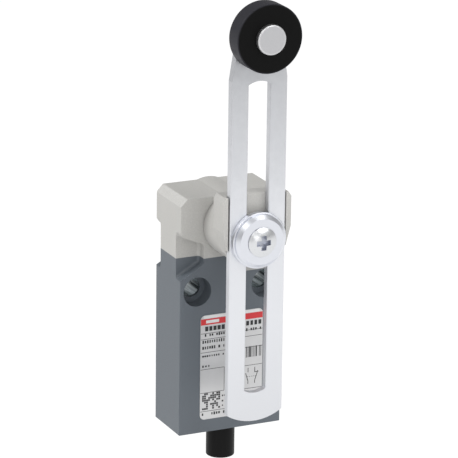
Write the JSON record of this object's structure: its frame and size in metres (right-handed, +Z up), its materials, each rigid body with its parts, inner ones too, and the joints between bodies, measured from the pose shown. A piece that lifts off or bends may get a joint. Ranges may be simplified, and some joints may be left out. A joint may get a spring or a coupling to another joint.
{
  "type": "limit switch",
  "caption": "Compact pre-wired limit switch: die-cast body, plastic head and a swinging slotted lever, adjustable in length, with a roller at its end.",
  "frame": {"origin": "midway between the two mounting holes, on the rear face that goes against the wall", "axes": "+X right, +Y into the wall, +Z up from the cable towards the roller; the lever and roller are on the -Y side"},
  "size_m": [0.03, 0.0386, 0.1319],
  "materials": {
    "housing": "satin",
    "head": "matte",
    "lever_metal": "satin",
    "clamp_metal": "polished",
    "steel": "satin",
    "spring": "satin",
    "roller": "satin",
    "label": "satin",
    "brass": "satin",
    "inner_plastic": "matte",
    "guide": "matte",
    "seal": "matte",
    "cable": "satin",
    "cores": "satin",
    "crimp": "satin"
  },
  "bodies": {
    "base": {"housing": "housing", "mounting_sleeves": "steel", "label": "label", "bottom_plate": "inner_plastic", "head": "head", "head_rear_cover": "head", "head_gasket": "seal", "head_screws": "steel", "shaft_seal": "seal", "return_spring": "spring", "plunger_guide": "guide", "contact_base": "inner_plastic", "contact_cover": "guide", "nc_contacts": "brass", "no_contacts": "brass", "carrier_spring": "spring", "cable_sheath": "cable", "cable_crimp": "crimp", "cable_cores": "cores", "earth_tag": "brass", "earth_screw": "steel"},
    "shaft_group": {"shaft": "steel", "retaining_clip": "spring", "cam": "guide", "lever_hub": "head", "clamp_disc_rear": "clamp_metal", "clamp_disc_front": "clamp_metal", "clamp_screw": "clamp_metal"},
    "lever_group": {"lever": "lever_metal", "roller_axle": "steel", "roller_spacer": "steel"},
    "roller_group": {"roller": "roller"},
    "plunger_group": {"plunger": "steel", "contact_carrier": "guide", "moving_bridge": "brass", "bridge_spring": "spring"}
  },
  "joints": [
    {"name": "lever_swing", "type": "hinge", "parent": "base", "child": "shaft_group", "pos_m": [0, -0.02, 0.0181], "axis": [0, 1, 0], "range_deg": [-75, 75], "stiffness_Nm_per_rad": 0.08, "deforming": ["return_spring"]},
    {"name": "lever_length", "type": "slide", "parent": "shaft_group", "child": "lever_group", "axis": [0, 0, 1], "range_m": [-0.038, 0.038]},
    {"name": "roller_spin", "type": "hinge", "parent": "lever_group", "child": "roller_group", "pos_m": [0, -0.0346, 0.0732], "axis": [0, 1, 0], "continuous": true},
    {"name": "plunger_slide", "type": "slide", "parent": "base", "child": "plunger_group", "axis": [0, 0, -1], "range_m": [0, 0.0014], "stiffness_N_per_m": 250, "springref_m": -0.004, "deforming": ["carrier_spring"]}
  ]
}
